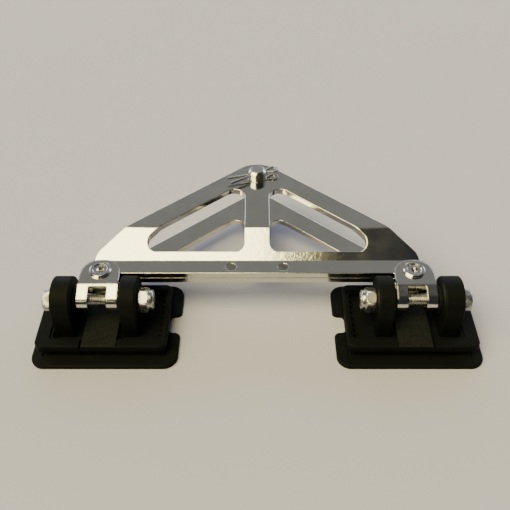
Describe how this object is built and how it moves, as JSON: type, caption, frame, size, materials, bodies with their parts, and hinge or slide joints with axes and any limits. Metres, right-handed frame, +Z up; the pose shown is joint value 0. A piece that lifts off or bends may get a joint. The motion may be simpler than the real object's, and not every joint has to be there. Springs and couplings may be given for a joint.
{
  "type": "hinged headboard slide bracket",
  "caption": "Triangular forked sheet-steel bracket with a removable clevis pin, hinged by folded straps and bolts to lugged black slide feet.",
  "frame": {"origin": "middle of the footprint, on the surface that the feet stand on", "axes": "+X along the hinge bolts towards the right foot, +Y from the bolts towards the clevis pin, +Z up off the soles"},
  "size_m": [0.2584, 0.1358, 0.0491],
  "materials": {
    "polished_steel": "mirror polished with a slight orange peel",
    "turned_steel": "bright turned",
    "black_plastic": "satin moulded",
    "bush_plastic": "smooth moulded",
    "nylon": "translucent satin"
  },
  "bodies": {
    "bracket": {"upper_plate": "polished_steel", "lower_plate": "polished_steel", "left_hinge_strap": "polished_steel", "left_strap_screw": "turned_steel", "left_sleeve_nut": "turned_steel", "right_hinge_strap": "polished_steel", "right_strap_screw": "turned_steel", "right_sleeve_nut": "turned_steel"},
    "left_foot": {"left_slide_shoe": "black_plastic", "left_lug_block": "black_plastic", "left_shoe_screws": "turned_steel", "left_inner_bush": "bush_plastic", "left_outer_bush": "bush_plastic", "left_pivot_bolt": "turned_steel", "left_lock_nut": "turned_steel", "left_lock_ring": "nylon"},
    "right_foot": {"right_slide_shoe": "black_plastic", "right_lug_block": "black_plastic", "right_shoe_screws": "turned_steel", "right_inner_bush": "bush_plastic", "right_outer_bush": "bush_plastic", "right_pivot_bolt": "turned_steel", "right_lock_nut": "turned_steel", "right_lock_ring": "nylon"},
    "fork_pin": {"clevis_pin": "turned_steel", "split_pin": "turned_steel"}
  },
  "joints": [
    {"name": "left_foot_hinge", "type": "hinge", "parent": "bracket", "child": "left_foot", "pos_m": [-0.0911, -0.0368, 0.024], "axis": [1, 0, 0], "range_deg": [-180, 10]},
    {"name": "right_foot_hinge", "type": "hinge", "parent": "bracket", "child": "right_foot", "pos_m": [0.0911, -0.0368, 0.024], "axis": [1, 0, 0], "range_deg": [-180, 10]},
    {"name": "pin_spin", "type": "hinge", "parent": "bracket", "child": "fork_pin", "pos_m": [0, 0.0532, 0.027], "axis": [0, 0, 1], "continuous": true}
  ]
}
